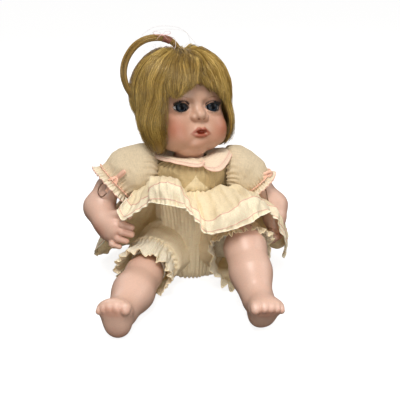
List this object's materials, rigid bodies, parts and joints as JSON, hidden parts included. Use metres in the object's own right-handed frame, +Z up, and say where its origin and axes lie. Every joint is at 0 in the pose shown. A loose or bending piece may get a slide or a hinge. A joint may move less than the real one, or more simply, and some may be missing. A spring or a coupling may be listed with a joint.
{
  "type": "porcelain baby doll",
  "caption": "Seated baby doll with porcelain head, forearms and lower legs on a disc-jointed cloth body, blonde wig and voile dress.",
  "frame": {"origin": "on the floor under the middle of the seat", "axes": "+Z up, the doll faces -Y, +X is the doll's left side"},
  "size_m": [0.2042, 0.211, 0.2382],
  "materials": {
    "bisque_skin": "matte bisque with a soft satin bloom",
    "muslin": "plain woven cotton",
    "polyester_filling": "loose fibre",
    "pellets": "small beads in a cloth bag",
    "joint_fibre": "pressed hardboard",
    "cotton_cord": "twisted cotton",
    "voile": "pale cream-yellow cotton voile, slightly sheer",
    "voile_band": "dotted cream voile with pink stitching",
    "dress_button": "pearly",
    "ribbon_salmon": "satin ribbon",
    "ribbon_pink": "satin ribbon",
    "wig_hair": "glossy blonde modacrylic fibre",
    "wig_base": "knitted cap",
    "hair_net": "fine nylon thread",
    "pate": "pressed card",
    "eye_white": "glossy white glass",
    "eye_iris": "deep blue glass with a ring",
    "eye_clear": "clear glass",
    "plaster": "cast plaster",
    "lash_fibre": "black bristle"
  },
  "bodies": {
    "root": {"torso_cover": "muslin", "torso_filling": "polyester_filling", "pellet_bag": "pellets", "torso_discs": "joint_fibre", "neck_drawstring": "cotton_cord", "bodice": "voile", "bodice_buttons": "dress_button", "neck_binding": "voile_band", "collar_left": "voile_band", "collar_right": "voile_band", "skirt": "voile", "skirt_hem_band": "voile_band", "bloomers": "voile"},
    "head": {"head_shell": "bisque_skin", "crown_pate": "pate", "eyeball_left": "eye_white", "eyeball_right": "eye_white", "iris_left": "eye_iris", "iris_right": "eye_iris", "cornea_left": "eye_clear", "cornea_right": "eye_clear", "eye_setting_left": "plaster", "eye_setting_right": "plaster", "lashes_left": "lash_fibre", "lashes_right": "lash_fibre", "wig_cap": "wig_base", "wig_hair": "wig_hair", "wig_fringe": "wig_hair", "ponytail": "wig_hair", "ponytail_band": "ribbon_pink", "ponytail_bow": "ribbon_pink", "hair_net": "hair_net"},
    "arm_left": {"upper_arm_left": "muslin", "arm_left": "bisque_skin", "arm_tie_left": "cotton_cord", "arm_disc_left": "joint_fibre", "sleeve_left": "voile", "sleeve_ribbon_left": "ribbon_salmon"},
    "arm_right": {"upper_arm_right": "muslin", "arm_right": "bisque_skin", "arm_tie_right": "cotton_cord", "arm_disc_right": "joint_fibre", "sleeve_right": "voile", "sleeve_ribbon_right": "ribbon_salmon"},
    "leg_left": {"thigh_left": "muslin", "leg_left": "bisque_skin", "leg_tie_left": "cotton_cord", "leg_disc_left": "joint_fibre", "bloomer_leg_left": "voile", "bloomer_ruffle_left": "voile_band"},
    "leg_right": {"thigh_right": "muslin", "leg_right": "bisque_skin", "leg_tie_right": "cotton_cord", "leg_disc_right": "joint_fibre", "bloomer_leg_right": "voile", "bloomer_ruffle_right": "voile_band"}
  },
  "joints": [
    {"name": "head_turn", "type": "hinge", "parent": "root", "child": "head", "pos_m": [-0.002, -0.01, 0.12], "axis": [0, 0, 1], "range_deg": [-70, 50]},
    {"name": "arm_left_swing", "type": "hinge", "parent": "root", "child": "arm_left", "pos_m": [0.0375, -0.004, 0.106], "axis": [-1, 0, 0], "range_deg": [0, 90], "deforming": ["sleeve_left", "sleeve_ribbon_left"]},
    {"name": "arm_right_swing", "type": "hinge", "parent": "root", "child": "arm_right", "pos_m": [-0.0375, -0.004, 0.106], "axis": [-1, 0, 0], "range_deg": [0, 90], "deforming": ["sleeve_right", "sleeve_ribbon_right"]},
    {"name": "leg_left_swing", "type": "hinge", "parent": "root", "child": "leg_left", "pos_m": [0.0255, 0.004, 0.026], "axis": [-1, 0, 0], "range_deg": [-80, 10], "deforming": ["bloomer_leg_left", "bloomer_ruffle_left", "skirt", "skirt_hem_band"]},
    {"name": "leg_right_swing", "type": "hinge", "parent": "root", "child": "leg_right", "pos_m": [-0.0255, 0.004, 0.026], "axis": [-1, 0, 0], "range_deg": [-80, 15], "deforming": ["bloomer_leg_right", "bloomer_ruffle_right", "skirt", "skirt_hem_band"]}
  ]
}
